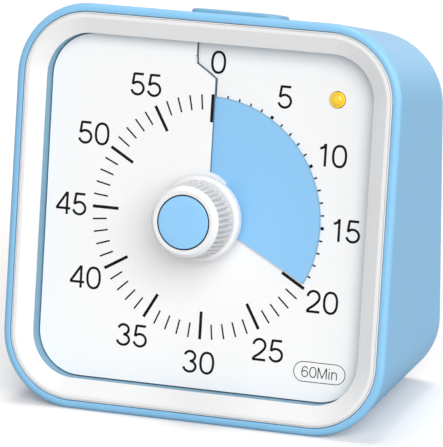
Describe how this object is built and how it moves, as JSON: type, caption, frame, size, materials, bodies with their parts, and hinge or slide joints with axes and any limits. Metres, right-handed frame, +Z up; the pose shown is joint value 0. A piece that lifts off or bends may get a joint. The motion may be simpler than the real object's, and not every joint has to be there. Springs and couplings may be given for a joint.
{
  "type": "visual countdown timer",
  "caption": "Square-faced battery countdown timer: a centre knob turns a coloured disc through a slit dial, a top button and a rear battery door on a leaning case.",
  "frame": {"origin": "middle of the flat base, on the surface the timer stands on", "axes": "+X to the right of someone facing the dial, +Y from the dial towards the rear, +Z up"},
  "size_m": [0.086, 0.0504, 0.0853],
  "materials": {
    "blue_abs": "satin moulded",
    "white_abs": "satin moulded",
    "white_dial": "smooth matt sheet",
    "blue_film": "smooth film",
    "acetal": "natural acetal",
    "blue_cap": "glossy moulded",
    "zinc_steel": "zinc plated",
    "spring_steel": "nickel plated spring steel",
    "ferrite": "sintered ferrite",
    "core_steel": "electrical steel",
    "copper_winding": "enamelled copper wire",
    "movement_resin": "moulded grey",
    "contact_brass": "bright",
    "board_green": "solder mask",
    "black_resin": "moulded black",
    "led_resin": "tinted epoxy",
    "yellow_lens": "glossy tinted",
    "cell_sleeve": "printed sleeve",
    "pad_rubber": "soft matt"
  },
  "bodies": {
    "housing": {"main_housing": "blue_abs", "dial_tray": "blue_abs", "rear_cover": "blue_abs", "front_bezel": "white_abs", "dial_plate": "white_dial", "tray_screws": "zinc_steel", "movement_screws": "zinc_steel", "board_screws": "zinc_steel", "button_board_screws": "zinc_steel", "cover_screws": "zinc_steel", "positive_terminal": "spring_steel", "negative_terminal": "spring_steel", "bridge_terminal": "spring_steel", "stator": "core_steel", "coil_core": "core_steel", "coil": "copper_winding", "movement_case": "movement_resin", "movement_cover": "movement_resin", "alarm_contact": "contact_brass", "main_board": "board_green", "button_board": "board_green", "control_chip": "black_resin", "buzzer": "black_resin", "button_switch": "black_resin", "sound_switch": "black_resin", "led": "led_resin", "led_lens": "yellow_lens", "lower_cell": "cell_sleeve", "upper_cell": "cell_sleeve", "anti_slip_pad_1": "pad_rubber", "anti_slip_pad_2": "pad_rubber", "anti_slip_pad_3": "pad_rubber", "anti_slip_pad_4": "pad_rubber"},
    "knob": {"knob": "white_abs", "knob_cap": "blue_cap", "knob_screw": "zinc_steel", "dial_shaft": "acetal", "main_wheel": "acetal", "clutch_spring": "spring_steel", "clutch_washer": "spring_steel", "alarm_cam": "acetal"},
    "disc": {"time_disc": "blue_film", "disc_hub": "acetal"},
    "third_wheel": {"third_wheel": "acetal"},
    "fourth_wheel": {"fourth_wheel": "acetal"},
    "rotor": {"rotor_pinion": "acetal", "rotor_magnet": "ferrite"},
    "top_button": {"top_button": "blue_abs", "switch_plunger": "black_resin"},
    "sound_slider": {"sound_slider": "white_abs"},
    "battery_door": {"battery_door": "blue_abs"}
  },
  "joints": [
    {"name": "knob_turn", "type": "hinge", "parent": "housing", "child": "knob", "pos_m": [0, -0.01708, 0.04285], "axis": [0, 0.986, -0.1666], "range_deg": [-120, 240]},
    {"name": "disc_advance", "type": "slide", "parent": "knob", "child": "disc", "axis": [0, -0.986, 0.1666], "range_m": [-0.00047, 0.00094]},
    {"name": "third_turn", "type": "hinge", "parent": "housing", "child": "third_wheel", "pos_m": [-0.01273, -0.0192, 0.0303], "axis": [0, 0.986, -0.1666], "range_deg": [-1200, 600]},
    {"name": "fourth_turn", "type": "hinge", "parent": "housing", "child": "fourth_wheel", "pos_m": [-0.002, -0.02009, 0.025], "axis": [0, 0.986, -0.1666], "range_deg": [-1800, 3600]},
    {"name": "rotor_turn", "type": "hinge", "parent": "housing", "child": "rotor", "pos_m": [0.00747, -0.02063, 0.02184], "axis": [0, 0.986, -0.1666], "range_deg": [-10800, 5400]},
    {"name": "button_press", "type": "slide", "parent": "housing", "child": "top_button", "axis": [0, -0.2637, -0.9646], "range_m": [0, 0.0009], "stiffness_N_per_m": 1500, "springref_m": -0.0005},
    {"name": "sound_slide", "type": "slide", "parent": "housing", "child": "sound_slider", "axis": [1, 0, 0], "range_m": [-0.002, 0.002]},
    {"name": "door_hinge", "type": "hinge", "parent": "housing", "child": "battery_door", "pos_m": [0, 0.0219, 0.01375], "axis": [-1, 0, 0], "range_deg": [0, 90]}
  ],
  "couplings": [
    {"joint": "disc_advance", "follows": "knob_turn", "m_per_rad": 0.00022282},
    {"joint": "third_turn", "follows": "knob_turn", "ratio": -5},
    {"joint": "fourth_turn", "follows": "knob_turn", "ratio": 15},
    {"joint": "rotor_turn", "follows": "knob_turn", "ratio": -45}
  ]
}
